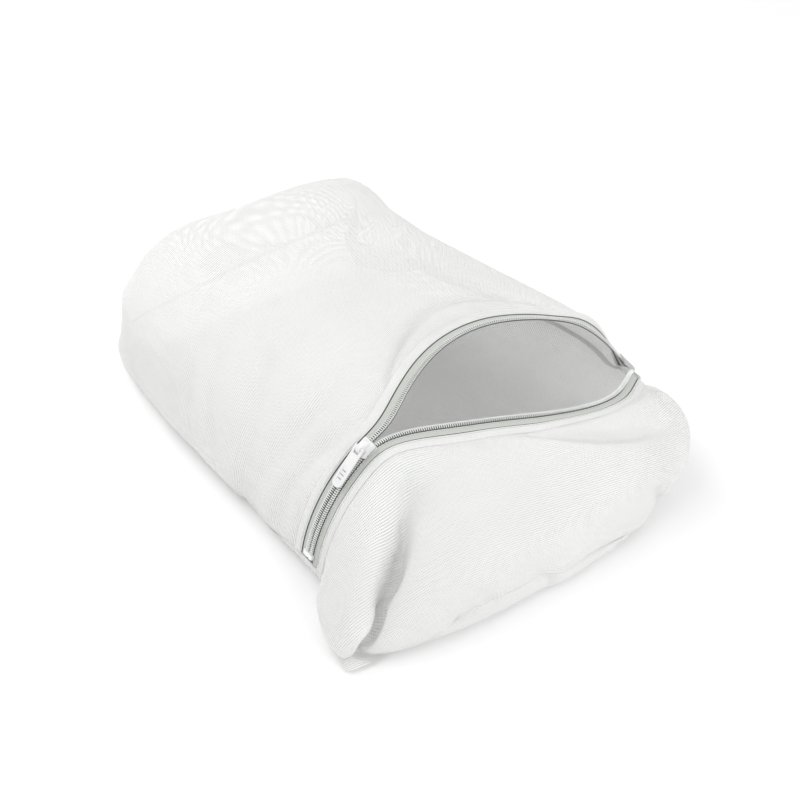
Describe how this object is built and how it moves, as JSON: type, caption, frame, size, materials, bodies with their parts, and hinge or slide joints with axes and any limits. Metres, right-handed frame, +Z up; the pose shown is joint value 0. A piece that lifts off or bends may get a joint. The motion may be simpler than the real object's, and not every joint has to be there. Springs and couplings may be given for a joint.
{
  "type": "mesh laundry bag",
  "caption": "Flat two-panel mesh laundry bag, filled out as in use, with a coil zip across its upper side that stands mostly open and a slider with a flip-over pull.",
  "frame": {"origin": "centre of the bounding box at its base, on the surface that the bag stands on", "axes": "+Y along the bag, from the zip end to the far end; +X across it, along the zip towards its closing end; +Z up"},
  "size_m": [0.353, 0.444, 0.1264],
  "materials": {
    "mesh": "ribbed see-through warp-knit polyester mesh",
    "hem": "two layers of the same mesh, folded and sewn",
    "overlock": "overlocked raw edges",
    "zip_tape": "woven polyester tape",
    "zip_coil": "nylon monofilament coil",
    "thread": "polyester sewing thread",
    "slider_plastic": "moulded white plastic",
    "pull_plastic": "moulded white plastic"
  },
  "bodies": {
    "bag": {"bottom_panel": "mesh", "top_panel_rear": "mesh", "top_panel_front": "mesh", "seam_left": "overlock", "seam_right": "overlock", "seam_front_end": "overlock", "seam_rear_end": "overlock", "hem_rear": "hem", "hem_front": "hem", "tape_rear": "zip_tape", "tape_front": "zip_tape", "coil_rear": "zip_coil", "coil_front": "zip_coil", "topstitch_rear": "thread", "topstitch_front": "thread", "bar_tack_left": "thread", "bar_tack_right": "thread"},
    "slider": {"slider_body": "slider_plastic", "slider_cap": "slider_plastic"},
    "pull": {"pull_tab": "pull_plastic"}
  },
  "joints": [
    {"name": "slider_travel", "type": "hinge", "parent": "bag", "child": "slider", "pos_m": [-0.016, -0.105, -0.001], "axis": [0, -1, 0], "range_deg": [0, 38.5]},
    {"name": "tab_flip", "type": "hinge", "parent": "slider", "child": "pull", "pos_m": [-0.09741, -0.105, 0.11157], "axis": [0, 1, 0], "range_deg": [0, 140]}
  ]
}
